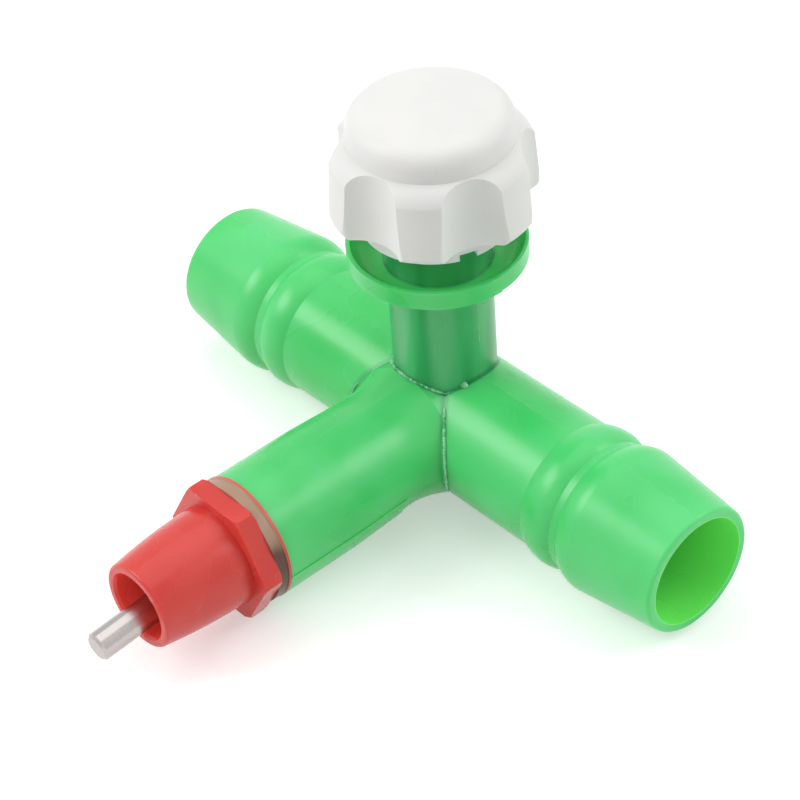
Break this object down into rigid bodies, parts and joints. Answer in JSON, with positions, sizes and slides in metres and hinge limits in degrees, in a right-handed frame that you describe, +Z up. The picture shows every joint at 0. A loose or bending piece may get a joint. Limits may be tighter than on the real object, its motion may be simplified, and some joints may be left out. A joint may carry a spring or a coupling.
{
  "type": "poultry nipple drinker",
  "caption": "Hose tee with a hand knob valve on its neck and a push-pin nipple drinker on its arm, for a poultry water line.",
  "frame": {"origin": "where the axes of the run, the arm and the neck cross", "axes": "+X along the run that the hoses push onto, -Y along the arm to the nipple, +Z up the neck to the knob"},
  "size_m": [0.078, 0.063, 0.0508],
  "materials": {
    "green_plastic": "glossy, slightly translucent polyethylene",
    "white_plastic": "satin moulded plastic",
    "red_plastic": "glossy moulded plastic",
    "smoky_seal": "smoky translucent soft seal",
    "black_rubber": "soft rubber",
    "stainless_steel": "turned and polished stainless steel"
  },
  "bodies": {
    "fitting": {"body": "green_plastic", "nipple_shell": "red_plastic", "sealing_ring": "smoky_seal", "seat_bush": "stainless_steel", "seat_gasket": "black_rubber", "ball_retainer": "white_plastic"},
    "hand_knob": {"knob": "white_plastic"},
    "plunger": {"spindle": "white_plastic", "spindle_ring": "black_rubber", "valve_washer": "black_rubber"},
    "check_ball": {"valve_ball": "stainless_steel"},
    "trigger": {"trigger_pin": "stainless_steel"}
  },
  "joints": [
    {"name": "knob_turn", "type": "hinge", "parent": "fitting", "child": "hand_knob", "pos_m": [0, 0, 0.03], "axis": [0, 0, 1], "range_deg": [-432, 0]},
    {"name": "plunger_drop", "type": "slide", "parent": "fitting", "child": "plunger", "axis": [0, 0, 1], "range_m": [-0.0024, 0]},
    {"name": "pin_push", "type": "slide", "parent": "fitting", "child": "check_ball", "axis": [0, 1, 0], "range_m": [0, 0.0012]},
    {"name": "pin_tilt", "type": "hinge", "parent": "check_ball", "child": "trigger", "pos_m": [0, -0.027, 0], "axis": [-1, 0, 0], "range_deg": [0, 9.5]}
  ],
  "couplings": [
    {"joint": "plunger_drop", "follows": "knob_turn", "m_per_rad": 0.0003183}
  ]
}
